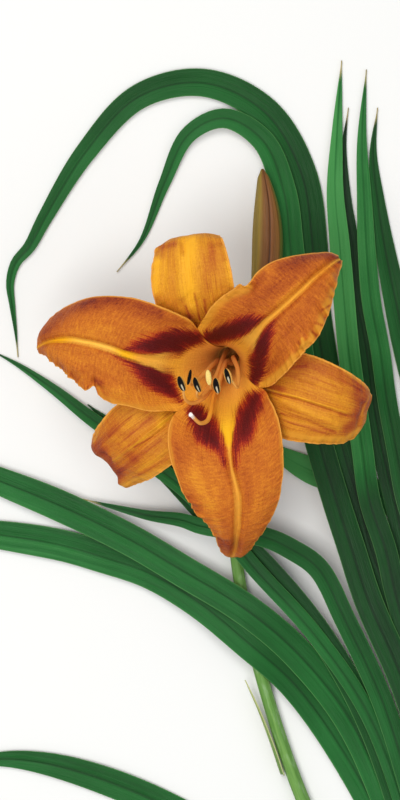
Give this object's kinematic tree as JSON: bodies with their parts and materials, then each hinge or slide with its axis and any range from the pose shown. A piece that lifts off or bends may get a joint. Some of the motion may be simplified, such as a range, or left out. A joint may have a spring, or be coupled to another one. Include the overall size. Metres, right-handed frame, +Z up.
{
  "type": "daylily plant",
  "caption": "Cut daylily plant lying on a surface: strap leaves in fans on one crown, a flower stalk with buds, and one open flower with a dark eye facing up.",
  "frame": {"origin": "middle of the plant's box, on the surface that it lies on", "axes": "+Z up off the surface, +Y from the crown towards the leaf tips"},
  "size_m": [0.3733, 0.497, 0.095],
  "materials": {
    "petal": "orange petal with a dark red eye and a yellow midrib, finely veined, satin",
    "sepal": "yellow-orange sepal, lengthwise veins, satin",
    "tube": "greenish yellow flower tube, satin",
    "filament": "orange stamen stalk and style, satin",
    "anther": "near-black pollen sac, matt and grainy",
    "stalk": "green stalk with a light bloom, satin",
    "bud": "olive and orange closed bud, ribbed, satin",
    "crown": "pale tan stock, fibrous, matt",
    "leaf": "green strap leaf with fine lengthwise veins, satin"
  },
  "bodies": {
    "root": {"petal_left": "petal", "petal_right": "petal", "petal_front": "petal", "sepal_top": "sepal", "sepal_right": "sepal", "sepal_left": "sepal", "perianth_tube": "tube", "filament_1": "filament", "filament_2": "filament", "filament_3": "filament", "filament_4": "filament", "filament_5": "filament", "filament_6": "filament", "anther_1": "anther", "anther_2": "anther", "anther_3": "anther", "anther_4": "anther", "anther_5": "anther", "anther_6": "anther", "pistil": "filament", "crown": "crown", "scape": "stalk", "flower_stalk": "stalk", "bud_stalk_long": "stalk", "bud_stalk_short": "stalk", "bud_large": "bud", "bud_medium": "bud", "bud_small": "bud", "bract_flower": "stalk", "bract_bud": "stalk", "bract_scape": "stalk", "leaf_01": "leaf", "leaf_02": "leaf", "leaf_03": "leaf", "leaf_04": "leaf", "leaf_05": "leaf", "leaf_06": "leaf", "leaf_07": "leaf", "leaf_08": "leaf", "leaf_09": "leaf", "leaf_10": "leaf", "leaf_11": "leaf", "leaf_12": "leaf", "leaf_13": "leaf", "leaf_14": "leaf", "leaf_15": "leaf", "leaf_16": "leaf", "leaf_17": "leaf"}
  },
  "joints": []
}
